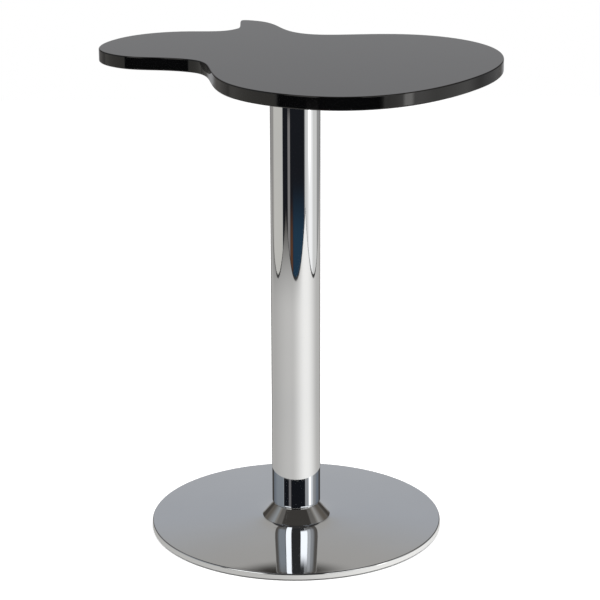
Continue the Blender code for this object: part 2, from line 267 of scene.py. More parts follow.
def node_radius(node):
    """Half the width of a round node."""
    low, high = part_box(node)
    return (high.x - low.x) / 2


def combine(mesh, tools, operation="DIFFERENCE"):
    """Cut tool meshes out of a mesh, or keep what they share, and return the result."""
    scene = bpy.context.scene
    body = bpy.data.objects.new("combine_body", mesh)
    scene.collection.objects.link(body)
    helpers = []
    for tool in tools:
        helper = bpy.data.objects.new("combine_tool", tool)
        scene.collection.objects.link(helper)
        modifier = body.modifiers.new("combine", "BOOLEAN")
        modifier.operation = operation
        modifier.object = helper
        helpers.append(helper)
    bpy.context.view_layer.update()
    cut_body = body.evaluated_get(bpy.context.evaluated_depsgraph_get())
    result = bpy.data.meshes.new_from_object(cut_body)
    for old in [body] + helpers:
        bpy.data.objects.remove(old, do_unlink=True)
    form = bmesh.new()
    form.from_mesh(result)
    bmesh.ops.remove_doubles(form, verts=form.verts, dist=WELD_DISTANCE)
    bmesh.ops.dissolve_degenerate(form, edges=form.edges, dist=WELD_DISTANCE)
    form.to_mesh(result)
    form.free()
    return result


def drill(x, y, low, high, radius):
    """A mesh that cuts an upright round hole between two heights."""
    profile = [(0.0, high), (radius, high), (radius, low), (0.0, low)]
    return turned("drill", profile, SMALL_STEPS, x, y, HALF_STEP)


def block(size, place):
    """A box mesh of a size about a place."""
    form = bmesh.new()
    shape = Matrix.Translation(place) @ Matrix.Diagonal((*size, 1.0))
    bmesh.ops.create_cube(form, size=1.0, matrix=shape)
    return finish_mesh("block", form)


# Shader helpers

# The middle of a noise pattern, where most of its values lie
PATTERN_LOW = 0.3
PATTERN_HIGH = 0.7

# Scales of the object's coordinates: as they are, and flat to the axis
EVEN = (1.0, 1.0, 1.0)
FLAT = (1.0, 1.0, 0.0)


class NodeKit:
    """Adds nodes to one node tree, links them and gives back their sockets."""

    def __init__(self, tree):
        self.nodes = tree.nodes
        self.links = tree.links

    def math(self, operation, first, second=None):
        """A sum on one or two numbers or sockets."""
        node = self.nodes.new("ShaderNodeMath")
        node.operation = operation
        for socket, value in zip(node.inputs, (first, second)):
            if isinstance(value, (int, float)):
                socket.default_value = value
            elif value is not None:
                self.links.new(value, socket)
        return node.outputs["Value"]

    def length(self, vector):
        """The length of a vector."""
        node = self.nodes.new("ShaderNodeVectorMath")
        node.operation = "LENGTH"
        self.links.new(vector, node.inputs[0])
        return node.outputs["Value"]

    def edge(self, value, start, end):
        """0 before start, 1 after end, smooth between them; start may be the larger."""
        node = self.nodes.new("ShaderNodeMapRange")
        node.interpolation_type = "SMOOTHSTEP"
        node.inputs["From Min"].default_value = start
        node.inputs["From Max"].default_value = end
        self.links.new(value, node.inputs["Value"])
        return node.outputs["Result"]

    def window(self, value, span, soft):
        """1 within a span, with soft edges of one width or of one width each."""
        soft_low, soft_high = soft if isinstance(soft, tuple) else (soft, soft)
        rise = self.edge(value, span[0] - soft_low, span[0] + soft_low)
        fall = self.edge(value, span[1] + soft_high, span[1] - soft_high)
        return self.math("MULTIPLY", rise, fall)

    def plain(self, colour):
        """One colour all over."""
        node = self.nodes.new("ShaderNodeRGB")
        node.outputs["Color"].default_value = (*colour, 1.0)
        return node.outputs["Color"]

    def layer(self, below, mask, colour):
        """Lay a colour over another by a mask."""
        node = self.nodes.new("ShaderNodeMix")
        node.data_type = "RGBA"
        self.links.new(mask, node.inputs["Factor"])
        first, second = [socket for socket in node.inputs if socket.type == "RGBA"]
        self.links.new(below, first)
        if isinstance(colour, tuple):
            second.default_value = (*colour, 1.0)
        else:
            self.links.new(colour, second)
        return next(socket for socket in node.outputs if socket.type == "RGBA")

    def mix(self, share, first, second):
        """Blend two shaders, with the share of the second."""
        node = self.nodes.new("ShaderNodeMixShader")
        self.links.new(share, node.inputs["Fac"])
        self.links.new(first, node.inputs[1])
        self.links.new(second, node.inputs[2])
        return node.outputs["Shader"]

    def direction(self, vector):
        """Azimuth from the camera's side and height in degrees, and the studio's X and Y, of a vector."""
        turned_back = self.nodes.new("ShaderNodeVectorRotate")
        turned_back.rotation_type = "Z_AXIS"
        turned_back.inputs["Angle"].default_value = -STUDIO_TURN
        self.links.new(vector, turned_back.inputs["Vector"])
        split = self.nodes.new("ShaderNodeSeparateXYZ")
        self.links.new(turned_back.outputs["Vector"], split.inputs["Vector"])
        towards_camera = self.math("MULTIPLY", split.outputs["Y"], -1.0)
        azimuth = self.math("DEGREES", self.math("ARCTAN2", split.outputs["X"], towards_camera))
        height = self.math("DEGREES", self.math("ARCSINE", split.outputs["Z"]))
        return azimuth, height, split.outputs["X"], split.outputs["Y"]

    def place(self, scale=EVEN):
        """Object coordinates stretched by a scale along each axis."""
        coordinates = self.nodes.new("ShaderNodeTexCoord")
        mapping = self.nodes.new("ShaderNodeMapping")
        mapping.inputs["Scale"].default_value = scale
        self.links.new(coordinates.outputs["Object"], mapping.inputs["Vector"])
        return mapping.outputs["Vector"]

    def noise(self, vector, scale, detail):
        """A cloudy pattern."""
        texture = self.nodes.new("ShaderNodeTexNoise")
        texture.inputs["Scale"].default_value = scale
        texture.inputs["Detail"].default_value = detail
        self.links.new(vector, texture.inputs["Vector"])
        return texture.outputs["Fac"]

    def spread(self, pattern, low, high):
        """Map the middle of a pattern to a range of numbers."""
        node = self.nodes.new("ShaderNodeMapRange")
        node.inputs["From Min"].default_value = PATTERN_LOW
        node.inputs["From Max"].default_value = PATTERN_HIGH
        node.inputs["To Min"].default_value = low
        node.inputs["To Max"].default_value = high
        self.links.new(pattern, node.inputs["Value"])
        return node.outputs["Result"]

    def tint(self, pattern, first, second):
        """Map the middle of a pattern to a run between two colours."""
        ramp = self.nodes.new("ShaderNodeValToRGB")
        stops = ramp.color_ramp.elements
        for stop, position, colour in zip(stops, (PATTERN_LOW, PATTERN_HIGH), (first, second)):
            stop.position = position
            stop.color = (*colour, 1.0)
        self.links.new(pattern, ramp.inputs["Fac"])
        return ramp.outputs["Color"]

    def bump(self, height, strength, depth, below=None):
        """A normal leaned by a height, on top of another normal if one is given."""
        node = self.nodes.new("ShaderNodeBump")
        node.inputs["Strength"].default_value = strength
        node.inputs["Distance"].default_value = depth
        self.links.new(height, node.inputs["Height"])
        if below is not None:
            self.links.new(below, node.inputs["Normal"])
        return node.outputs["Normal"]

    def dress(self, shader, colour, roughness, normal):
        """Give a shader its colour, its roughness and its normal."""
        self.links.new(colour, shader.inputs["Base Color"])
        self.links.new(roughness, shader.inputs["Roughness"])
        self.links.new(normal, shader.inputs["Normal"])


def new_material(name):
    material = bpy.data.materials.new(name)
    material.use_nodes = True
    kit = NodeKit(material.node_tree)
    return material, kit, kit.nodes["Principled BSDF"]


# Finishes

# Gloss of the lacquer
LACQUER_IOR = 1.53
LACQUER_GLOSS_TINT = (1.0, 0.985, 0.955, 1.0)

# Strength and depth of the long shallow waves in polished chrome
CHROME_WAVE_STRENGTH = 0.02
CHROME_WAVE_DEPTH = 0.001

# Lean of the spun cover's mirror face: its slope at the axis and the growth with the radius, and the extra
# slope where the sheet is drawn up to the collar's foot, with the distance over which it dies away
CROWN_SLOPE = 0.066
CROWN_SLOPE_GROWTH = 0.165
FOOT_SLOPE = 0.30
FOOT_REACH = 0.012

# Painted highlight on the upright rim: a brighter chrome colour, and the width over which it starts
RIM_PAINTED_HIGHLIGHT = (0.86, 0.87, 0.87)
RIM_HIGHLIGHT_START = 0.0008

# Machined grain runs round the axis of a plated piece
MACHINED = (1.0, 1.0, 6.0)


def lacquer_material(name, tones, roughness):
    """Gloss lacquer with a trace of orange peel and polishing haze."""
    material, kit, shader = new_material(name)
    place = kit.place()
    haze = kit.noise(place, scale=9.0, detail=4.0)
    peel = kit.noise(place, scale=420.0, detail=2.0)
    normal = kit.bump(peel, strength=0.04, depth=0.0002)
    kit.dress(shader, kit.tint(haze, *tones), kit.spread(haze, *roughness), normal)
    shader.inputs["IOR"].default_value = LACQUER_IOR
    shader.inputs["Specular Tint"].default_value = LACQUER_GLOSS_TINT
    return material


def chrome_material(name, tones, roughness, marks, wave_scale):
    """Polished chrome: a slight drift of tone, fine polishing marks and long shallow waves."""
    material, kit, shader = new_material(name)
    place = kit.place()
    drift = kit.noise(place, scale=7.0, detail=3.0)
    polish = kit.noise(kit.place(marks), scale=60.0, detail=5.0)
    waves = kit.noise(place, scale=wave_scale, detail=1.0)
    normal = kit.bump(waves, CHROME_WAVE_STRENGTH, CHROME_WAVE_DEPTH)
    kit.dress(shader, kit.tint(drift, *tones), kit.spread(polish, *roughness), normal)
    shader.inputs["Metallic"].default_value = 1.0
    return material


def spun_chrome_material(name, tones, roughness, marks, wave_scale):
    """Chrome on a spun sheet, whose face leans outwards more and more towards an upright rim with a painted
    highlight.
    """
    material = chrome_material(name, tones, roughness, marks, wave_scale)
    kit = NodeKit(material.node_tree)
    shader = kit.nodes["Principled BSDF"]
    face_colour = shader.inputs["Base Color"].links[0].from_socket
    face_normal = shader.inputs["Normal"].links[0].from_socket
    radius = kit.length(kit.place(FLAT))
    # Painted highlight: the rim's chrome colour is made brighter to stand in for the light band it reflects
    painted_rim_highlight = kit.edge(radius, BASE_RADIUS - RIM_HIGHLIGHT_START, BASE_RADIUS - RIM_HIGHLIGHT_START / 2)
    kit.links.new(kit.layer(face_colour, painted_rim_highlight, RIM_PAINTED_HIGHLIGHT), shader.inputs["Base Color"])
    fall = kit.math("ADD", kit.math("MULTIPLY", radius, CROWN_SLOPE_GROWTH / 2), CROWN_SLOPE)
    inwards = kit.math("DIVIDE", kit.math("SUBTRACT", COLLAR_RADIUS, radius), FOOT_REACH)
    foot = kit.math("MULTIPLY", kit.math("EXPONENT", inwards), FOOT_SLOPE * FOOT_REACH)
    height = kit.math("SUBTRACT", foot, kit.math("MULTIPLY", radius, fall))
    lean = kit.bump(height, strength=1.0, depth=1.0, below=face_normal)
    kit.links.new(lean, shader.inputs["Normal"])
    return material


def plated_material(name, tones, roughness, grain):
    """Plated or bare steel with a fine machined grain."""
    material, kit, shader = new_material(name)
    place = kit.place(MACHINED)
    cloud = kit.noise(place, scale=90.0, detail=4.0)
    fine = kit.noise(place, scale=grain, detail=3.0)
    normal = kit.bump(fine, strength=0.15, depth=0.0001)
    kit.dress(shader, kit.tint(cloud, *tones), kit.spread(cloud, *roughness), normal)
    shader.inputs["Metallic"].default_value = 1.0
    return material


def coated_material(name, tones, roughness, grain, strength, depth):
    """Paint, casting skin or moulded plastic with a grain."""
    material, kit, shader = new_material(name)
    place = kit.place()
    cloud = kit.noise(place, scale=24.0, detail=5.0)
    fine = kit.noise(place, scale=grain, detail=4.0)
    normal = kit.bump(fine, strength, depth)
    kit.dress(shader, kit.tint(cloud, *tones), kit.spread(fine, *roughness), normal)
    return material


def make_finishes():
    """One material for each slot of the record, each with its two tones and its range of roughness."""
    return {
        "black_lacquer": lacquer_material(
            "black_lacquer_gloss", ((0.0016, 0.0016, 0.0017), (0.0028, 0.0028, 0.0029)), (0.035, 0.06)),
        "black_steel": coated_material(
            "black_powder_coat", ((0.022, 0.022, 0.023), (0.030, 0.030, 0.031)), (0.42, 0.55),
            grain=1400.0, strength=0.25, depth=0.0002),
        "zinc_steel": plated_material(
            "zinc_plate_bright", ((0.58, 0.58, 0.56), (0.68, 0.68, 0.65)), (0.25, 0.38), grain=1800.0),
        "bare_steel": plated_material(
            "turned_steel", ((0.46, 0.46, 0.47), (0.54, 0.54, 0.55)), (0.32, 0.48), grain=1500.0),
        "column_chrome": chrome_material(
            "column_chrome_polished", ((0.84, 0.85, 0.86), (0.88, 0.885, 0.89)), (0.015, 0.04),
            marks=(1.0, 1.0, 0.05), wave_scale=14.0),
        "collar_chrome": chrome_material(
            "collar_chrome_polished", ((0.77, 0.77, 0.76), (0.81, 0.81, 0.80)), (0.04, 0.09),
            marks=(1.0, 1.0, 4.0), wave_scale=30.0),
        "base_chrome": spun_chrome_material(
            "base_chrome_polished", ((0.665, 0.695, 0.735), (0.685, 0.715, 0.755)), (0.02, 0.05),
            marks=EVEN, wave_scale=9.0),
        "cast_iron": coated_material(
            "cast_iron_painted", ((0.040, 0.040, 0.042), (0.058, 0.057, 0.056)), (0.62, 0.85),
            grain=320.0, strength=0.6, depth=0.0006),
        "black_nylon": coated_material(
            "black_nylon_moulded", ((0.011, 0.011, 0.011), (0.017, 0.017, 0.017)), (0.45, 0.62),
            grain=900.0, strength=0.2, depth=0.0002),
    }


# Pieces

def outline_nodes(length, width):
    """Nodes of the guitar outline, counter-clockwise from the tail.

    Each has its place, the heading of travel in degrees, and its handles before and after as shares of the
    distance to the neighbouring node.
    """
    half_length = length / 2
    half_width = width / 2
    lower_bout_x = half_length - LOWER_BOUT_FROM_TAIL

    def from_neck(place):
        return (place[0] - half_length, place[1])

    return [
        ((half_length, TAIL_Y), 90, 0.459, 0.473),
        ((lower_bout_x, half_width), 180, 0.342, 0.457),
        (from_neck(TREBLE_WAIST), 180, 0.257, 0.390),
        (from_neck(HORN_CREST), 180, 0.339, 0.474),
        (from_neck(HORN_TIP), 299, 0.440, 0.360),
        (from_neck(CUTAWAY), 270, 0.202, 0.433),
        (from_neck(CUTAWAY_LIP), 212, 0.474, 0.287),
        ((-half_length, NECK_END_Y), 270, 0.419, 0.489),
        (from_neck(BASS_UPPER_BOUT), 0, 0.368, 0.318),
        (from_neck(BASS_WAIST), 0, 0.418, 0.232),
        ((lower_bout_x, -half_width), 0, 0.533, 0.433),
    ]


def heading_vector(heading):
    """The direction of a heading in degrees."""
    return Vector((math.cos(math.radians(heading)), math.sin(math.radians(heading))))


def outline_points(nodes):
    """Points of the outline with their outward directions, along cubic curves between the nodes."""
    points = []
    for i, (place, heading, _, after) in enumerate(nodes):
        next_place, next_heading, before, _ = nodes[(i + 1) % len(nodes)]
        start = Vector(place)
        end = Vector(next_place)
        span = (end - start).length
        first = start + after * span * heading_vector(heading)
        second = end - before * span * heading_vector(next_heading)
        for step in range(OUTLINE_STEPS):
            t = step / OUTLINE_STEPS
            s = 1 - t
            point = s**3 * start + 3 * s * s * t * first + 3 * s * t * t * second + t**3 * end
            travel = s * s * (first - start) + 2 * s * t * (second - first) + t * t * (end - second)
            travel.normalize()
            points.append((point, Vector((travel.y, -travel.x))))
    return points


def board_blank(name, low, high):
    """The board before its holes: the guitar outline with rounded arrises and level faces."""
    points = outline_points(outline_nodes(high.x - low.x, high.y - low.y))
    arris = arc_line(-BOARD_ARRIS, high.z - BOARD_ARRIS, BOARD_ARRIS, 0, 90)
    upper = supported([(0.0, (low.z + high.z) / 2)] + arris)[1:]
    lower = [(offset, low.z + high.z - height) for offset, height in reversed(upper)]
    form = bmesh.new()
    rings = []
    for offset, height in lower + upper:
        rings.append([form.verts.new((p.x + offset * n.x, p.y + offset * n.y, height)) for p, n in points])
    count = len(points)
    for below, above in zip(rings, rings[1:]):
        for i in range(count):
            j = (i + 1) % count
            form.faces.new((below[i], below[j], above[j], above[i]))
    form.faces.new(rings[-1])
    form.faces.new(list(reversed(rings[0])))
    mesh = finish_mesh(name, form)
    for polygon in mesh.polygons:
        polygon.use_smooth = len(polygon.vertices) < count
    return mesh


def make_top_board(finishes):
    """The board with the pocket for the rod's nut and the screw holes."""
    low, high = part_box("top_board")
    name = "top_board_lacquered"
    below_board = low.z - DRILL_SPARE
    pocket_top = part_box("tie_rod")[1].z + POCKET_SPARE_DEPTH
    holes = [drill(0.0, 0.0, below_board, pocket_top, POCKET_RADIUS)]
    for node in SCREW_NODES:
        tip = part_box(node)[1].z
        holes.append(drill(*node_axis(node), below_board, tip + GAP, SCREW_RADIUS + GAP))
    board = combine(board_blank(name, low, high), holes)
    add_piece(name, board, finishes, "black_lacquer", "top_board")


def make_mounting_plate(finishes):
    """The plate with rounded edges, bored for the rod and the screws."""
    low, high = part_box("mounting_plate")
    name = "mounting_plate_coated"
    profile = [(ROD_HOLE_RADIUS, high.z)]
    profile += rounded_side(high.x, low.z, high.z, PLATE_EDGE)
    profile += [(ROD_HOLE_RADIUS, low.z)]
    holes = []
    for node in SCREW_NODES:
        holes.append(drill(*node_axis(node), low.z - DRILL_SPARE, high.z + DRILL_SPARE, SCREW_RADIUS + GAP))
    plate = shade(combine(turned(name, profile, COLUMN_STEPS), holes))
    add_piece(name, plate, finishes, "black_steel", "mounting_plate")


def make_mounting_screws(finishes):
    """Pan-head wood screws with a cross recess, driven up through the plate."""
    for node in SCREW_NODES:
        low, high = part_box(node)
        x, y = node_axis(node)
        name = node + "_pan_head"
        head_radius = node_radius(node)
        seat = low.z + SCREW_HEAD_HEIGHT
        thread_start = high.z - SCREW_POINT_LENGTH
        thread_end = seat + SCREW_PLAIN_LENGTH
        dome_height = SCREW_HEAD_HEIGHT - SCREW_HEAD_WALL
        profile = [(0.0, high.z)]
        profile += thread_line(SCREW_RADIUS, SCREW_THREAD_DEPTH, SCREW_PITCH, thread_start, thread_end)
        profile += [(SCREW_RADIUS, thread_end - SCREW_THREAD_DEPTH), (SCREW_RADIUS, seat)]
        profile += [(head_radius, seat)]
        for across, down in arc_line(0.0, 0.0, 1.0, 0, -90)[:-1]:
            profile.append((head_radius * across, seat - SCREW_HEAD_WALL + dome_height * down))
        profile.append((0.0, low.z))
        middle = (x, y, low.z)
        arms = [
            block((RECESS_LENGTH, RECESS_WIDTH, 2 * RECESS_DEPTH), middle),
            block((RECESS_WIDTH, RECESS_LENGTH, 2 * RECESS_DEPTH), middle),
        ]
        screw = shade(combine(turned(name, profile, SMALL_STEPS, x, y), arms))
        add_piece(name, screw, finishes, "zinc_steel", node)


def make_column(finishes):
    """The tube with its lower end turned in over a rounded rim."""
    low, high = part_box("column_tube")
    name = "column_polished"
    rim_centre = COLUMN_RADIUS - COLUMN_RIM_RADIUS
    rim_height = low.z + COLUMN_RIM_RADIUS
    lip = rim_centre - COLUMN_LIP_WIDTH
    profile = [(COLUMN_RADIUS, high.z)]
    profile += arc_line(rim_centre, rim_height, COLUMN_RIM_RADIUS, 0, -90)
    profile += [(lip, low.z), (lip, low.z + COLUMN_WALL)]
    profile += arc_line(rim_centre, rim_height, COLUMN_RIM_RADIUS - COLUMN_WALL, -90, 0)
    profile += [(COLUMN_RADIUS - COLUMN_WALL, high.z)]
    add_piece(name, turned(name, profile, COLUMN_STEPS), finishes, "column_chrome", "column_tube")


def make_tie_rod(finishes):
    """The rod with threaded, chamfered ends."""
    low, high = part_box("tie_rod")
    name = "tie_rod_threaded"
    radius = high.x
    end_radius = radius - ROD_CHAMFER
    top_thread = high.z - ROD_THREAD_LENGTH
    base_thread = low.z + ROD_THREAD_LENGTH
    profile = [(0.0, high.z), (end_radius, high.z)]
    profile += thread_line(radius, ROD_THREAD_DEPTH, ROD_PITCH, high.z - ROD_CHAMFER, top_thread)
    profile += [(radius, top_thread - ROD_CHAMFER), (radius, base_thread + ROD_CHAMFER)]
    profile += thread_line(radius, ROD_THREAD_DEPTH, ROD_PITCH, base_thread, low.z + ROD_CHAMFER)
    profile += [(end_radius, low.z), (0.0, low.z)]
    add_piece(name, turned(name, profile, SMALL_STEPS), finishes, "zinc_steel", "tie_rod")


def make_nuts(finishes):
    """Hexagon nuts, chamfered at both faces: what a prism and a barrel share, bored for the rod."""
    for node in ("tie_rod_top_nut", "tie_rod_base_nut"):
        low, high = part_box(node)
        corner = high.x
        flat = corner * math.cos(math.pi / NUT_SIDES)
        chamfer_start = flat - NUT_CHAMFER
        chamfer_drop = (corner - chamfer_start) * math.tan(NUT_CHAMFER_ANGLE)
        prism = [(0.0, high.z), (corner, high.z), (corner, low.z), (0.0, low.z)]
        barrel = [
            (0.0, high.z + GAP),
            (chamfer_start, high.z + GAP),
            (corner + GAP, high.z - chamfer_drop),
            (corner + GAP, low.z + chamfer_drop),
            (chamfer_start, low.z - GAP),
            (0.0, low.z - GAP),
        ]
        nut = combine(turned(node, prism, NUT_SIDES), [turned(node, barrel, SMALL_STEPS)], "INTERSECT")
        bore = drill(0.0, 0.0, low.z - DRILL_SPARE, high.z + DRILL_SPARE, ROD_HOLE_RADIUS)
        add_piece(node + "_chamfered", shade(combine(nut, [bore])), finishes, "zinc_steel", node)


def make_washers(finishes):
    """Stamped washers with rounded edges."""
    for node in ("tie_rod_top_washer", "tie_rod_base_washer"):
        low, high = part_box(node)
        profile = [(ROD_HOLE_RADIUS, high.z)]
        profile += rounded_side(high.x, low.z, high.z, WASHER_EDGE)
        profile += [(ROD_HOLE_RADIUS, low.z)]
        add_piece(node + "_stamped", turned(node, profile, SMALL_STEPS), finishes, "zinc_steel", node)


def make_collar(finishes):
    """The cone between the column's lower end and the base."""
    low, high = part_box("cone_collar")
    name = "cone_collar_polished"
    top_radius = BOSS_RADIUS + GAP + CONE_WALL
    profile = [
        (top_radius, high.z),
        (COLLAR_RADIUS, low.z),
        (COLLAR_RADIUS - CONE_WALL, low.z),
        (top_radius - CONE_WALL, high.z),
    ]
    add_piece(name, turned(name, profile, COLUMN_STEPS), finishes, "collar_chrome", "cone_collar")


def crown_line(outer, drop):
    """Points of the cover's crown from the level part round the collar out to a radius, lowered by a drop."""
    points = []
    for i in range(CROWN_RINGS + 1):
        radius = CROWN_FLAT_RADIUS + (outer - CROWN_FLAT_RADIUS) * i / CROWN_RINGS
        share = min((radius - CROWN_FLAT_RADIUS) / (RIM_SHOULDER - CROWN_FLAT_RADIUS), 1.0)
        points.append((radius, RIM_HEIGHT + (CROWN_TOP - RIM_HEIGHT) * (1 - share * share) - drop))
    return points


def make_base_cover(finishes):
    """The spun cover: a level seat round the collar, a low crown, a rounded edge and an upright rim."""
    low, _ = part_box("base_cover")
    name = "base_cover_polished"
    hole = BOSS_RADIUS + COVER_HOLE_CLEARANCE
    inner = BASE_RADIUS - COVER_SHEET
    profile = [(hole, CROWN_TOP)]
    profile += crown_line(RIM_SHOULDER, 0.0)
    profile += arc_line(RIM_SHOULDER, RIM_HEIGHT - RIM_EDGE_RADIUS, RIM_EDGE_RADIUS, 90, 0)[1:]
    profile += [(BASE_RADIUS, low.z), (inner, low.z)]
    profile += reversed(crown_line(inner, COVER_SHEET))
    profile += [(hole, CROWN_TOP - COVER_SHEET)]
    add_piece(name, turned(name, profile, BASE_STEPS), finishes, "base_chrome", "base_cover")


def make_base_ballast(finishes):
    """The cast disc under the cover, with its boss, its nut recess and the holes for the glides."""
    low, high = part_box("base_ballast")
    name = "base_ballast_cast"
    drop = COVER_SHEET + GAP
    recess_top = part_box("tie_rod_base_washer")[1].z + GAP
    edge_height = low.z + BALLAST_EDGE
    profile = [(ROD_HOLE_RADIUS, high.z)]
    profile += [(BOSS_RADIUS, high.z), (BOSS_RADIUS, CROWN_TOP - drop)]
    profile += crown_line(high.x, drop)
    profile += arc_line(high.x - BALLAST_EDGE, edge_height, BALLAST_EDGE, 0, -90)
    profile += arc_line(POCKET_RADIUS + BALLAST_EDGE, edge_height, BALLAST_EDGE, -90, -180)
    profile += [(POCKET_RADIUS, recess_top), (ROD_HOLE_RADIUS, recess_top)]
    holes = [drill(*node_axis(node), 0.0, high.z, node_radius(node) + GAP) for node in STUD_NODES]
    ballast = shade(combine(turned(name, profile, COLUMN_STEPS), holes))
    add_piece(name, ballast, finishes, "cast_iron", "base_ballast")


def make_stud(finishes, node, body):
    """The threaded stud of a glide."""
    low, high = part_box(node)
    name = node + "_threaded"
    radius = node_radius(node)
    profile = [(0.0, high.z)]
    profile += thread_line(radius, GLIDE_THREAD_DEPTH, GLIDE_PITCH, high.z, low.z + GLIDE_PITCH)
    profile += [(radius - GLIDE_THREAD_DEPTH, low.z), (0.0, low.z)]
    stud = turned(name, profile, SMALL_STEPS, *node_axis(node))
    add_piece(name, stud, finishes, "zinc_steel", node, body)


def make_pad(finishes, node, body, socket, x, y):
    """The moulded pad of a glide, with a socket for the stud."""
    low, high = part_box(node)
    name = node + "_moulded"
    socket_floor = low.z + GLIDE_FLOOR_SKIN
    profile = [(0.0, socket_floor), (socket, socket_floor), (socket, high.z)]
    profile += rounded_side(node_radius(node), low.z, high.z, GLIDE_PAD_EDGE)
    profile += [(0.0, low.z)]
    pad = turned(name, profile, SMALL_STEPS, x, y)
    add_piece(name, pad, finishes, "black_nylon", node, body)


def make_glides(finishes):
    """Levelling glides: a threaded stud in the socket of a moulded pad, each pair on its own body."""
    for stud, pad, body in zip(STUD_NODES, PAD_NODES, GLIDE_BODIES):
        make_stud(finishes, stud, body)
        make_pad(finishes, pad, body, node_radius(stud) + GAP, *node_axis(stud))


# Studio

def studio_vector(x, y, z):
    """A place or direction of the studio in the part's frame."""
    return Matrix.Rotation(STUDIO_TURN, 3, "Z") @ Vector((x, y, z))


def add_camera():
    """The camera at the photograph's place and angle."""
    forward = Vector((
        math.sin(CAMERA_YAW) * math.cos(CAMERA_PITCH),
        math.cos(CAMERA_YAW) * math.cos(CAMERA_PITCH),
        -math.sin(CAMERA_PITCH),
    ))
    level_right = Vector((math.cos(CAMERA_YAW), -math.sin(CAMERA_YAW), 0.0))
    level_up = level_right.cross(forward)
    right = math.cos(CAMERA_ROLL) * level_right + math.sin(CAMERA_ROLL) * level_up
    up = math.cos(CAMERA_ROLL) * level_up - math.sin(CAMERA_ROLL) * level_right
    data = bpy.data.cameras.new("camera")
    data.lens = CAMERA_LENS
    data.sensor_width = CAMERA_SENSOR
    camera = bpy.data.objects.new("camera", data)
    axes = [studio_vector(*axis) for axis in (right, up, -forward)]
    turn = Matrix(axes).transposed().to_4x4()
    camera.matrix_world = Matrix.Translation(studio_vector(*CAMERA_PLACE)) @ turn
    bpy.context.scene.collection.objects.link(camera)
    bpy.context.scene.camera = camera


# Studio panels as seen from the table, each laid over those before it: azimuth from the camera's side and
# height in degrees, how soft the edges of both are, and the light it gives
PANELS_BOTH_SIDES = [
    ("backdrop", (150, 200), (-90, 100), 8, 1, (0.478, 0.481, 0.493)),
    ("backdrop_high", (150, 200), (30, 100), 8, 9, (0.462, 0.437, 0.402)),
    ("side_high", (44, 110), (30, 100), 8, 2, (0.235, 0.225, 0.21)),
    ("room_side", (98, 156), (-90, 100), 8, 4, (0.125, 0.113, 0.10)),
    ("room_side_low", (96, 132), (-3, 15), 8, 4, (0.20, 0.22, 0.25)),
    ("room_side_back", (136, 158), (-8, 20), 6, 5, (0.06, 0.055, 0.05)),
    ("ceiling_back", (175, 200), (39, 100), 3, 1, (0.054, 0.048, 0.042)),
]
PANELS = [
    ("dark_front", (-62, 44), (-90, 100), 1.5, 1, (0.010, 0.011, 0.014)),
    ("dark_front_high", (-62, 44), (26, 46), 1.5, 3, (0.034, 0.034, 0.034)),
    ("front_low_blue", (-12, 40), (-90, -14.9), 5, 0.9, (0.016, 0.042, 0.075)),
    ("front_low_brown", (-24, -13), (-90, -15.2), 3, 0.8, (0.10, 0.045, 0.025)),
    ("left_wall_high", (-112, -62), (-90, 40), (16, 3), 2, (0.30, 0.32, 0.34)),
    ("left_wall", (-122, -62), (-90, -3), 2.5, 3, (0.545, 0.535, 0.505)),
    ("left_wall_back", (-152, -120), (-90, -3), 9, 3, (0.30, 0.29, 0.28)),
    ("right_wall_high", (44, 106), (-90, 40), (6, 14), 2, (0.36, 0.36, 0.36)),
    ("right_wall", (46, 118), (-90, -3), 7, 3, (0.66, 0.66, 0.65)),
    ("right_wall_back", (118, 150), (-90, -3), 9, 3, (0.30, 0.30, 0.30)),
    ("right_wall_bright", (60, 84), (-90, 16), 8, 4, (1.0, 1.0, 1.0)),
    ("right_lamp", (63, 71), (-13.5, 14), 2, 1, (2.6, 2.6, 2.6)),
    ("right_wall_glow", (61, 80), (16, 40), 5, 3, (0.62, 0.62, 0.62)),
    ("front_strip", (-36, -25), (-90, -12.35), 1.2, 0.3, (0.22, 0.21, 0.21)),
    ("front_strip_high", (-36, -25), (-5, 23), 1.2, 2, (0.22, 0.21, 0.21)),
    ("ceiling", (-200, 200), (46, 100), 1, 1.5, (0.05, 0.047, 0.044)),
    ("overhead_light", (-200, 200), (66, 100), 1, 4, (0.60, 0.59, 0.575)),
    ("overhead_front", (-82, 82), (55, 81), 6, 3, (0.05, 0.047, 0.044)),
    ("ceiling_left", (-88, -66), (42, 53), 3, 3, (0.14, 0.135, 0.13)),
    ("ceiling_right", (66, 88), (42, 53), 3, 3, (0.14, 0.135, 0.13)),
    ("left_soft_box", (-58, -28), (17, 51), 1.5, 1.5, (1.55, 1.55, 1.55)),
    ("right_soft_box", (22, 60), (17, 38.5), 1.5, 1.5, (1.55, 1.55, 1.55)),
]
WHITE = (1.0, 1.0, 1.0)
DIFFUSE_LEVEL = 0.32


def panelled_light(kit):
    """The studio as mirrors see it: white all round, with the panels laid over it."""
    coordinates = kit.nodes.new("ShaderNodeTexCoord")
    azimuth, height, _, _ = kit.direction(coordinates.outputs["Generated"])
    from_front = kit.math("ABSOLUTE", azimuth)
    light = kit.plain(WHITE)
    for around, panels in ((from_front, PANELS_BOTH_SIDES), (azimuth, PANELS)):
        for _, span, rise, soft_span, soft_rise, colour in panels:
            in_span = kit.window(around, span, soft_span)
            mask = kit.math("MULTIPLY", in_span, kit.window(height, rise, soft_rise))
            light = kit.layer(light, mask, colour)
    return light


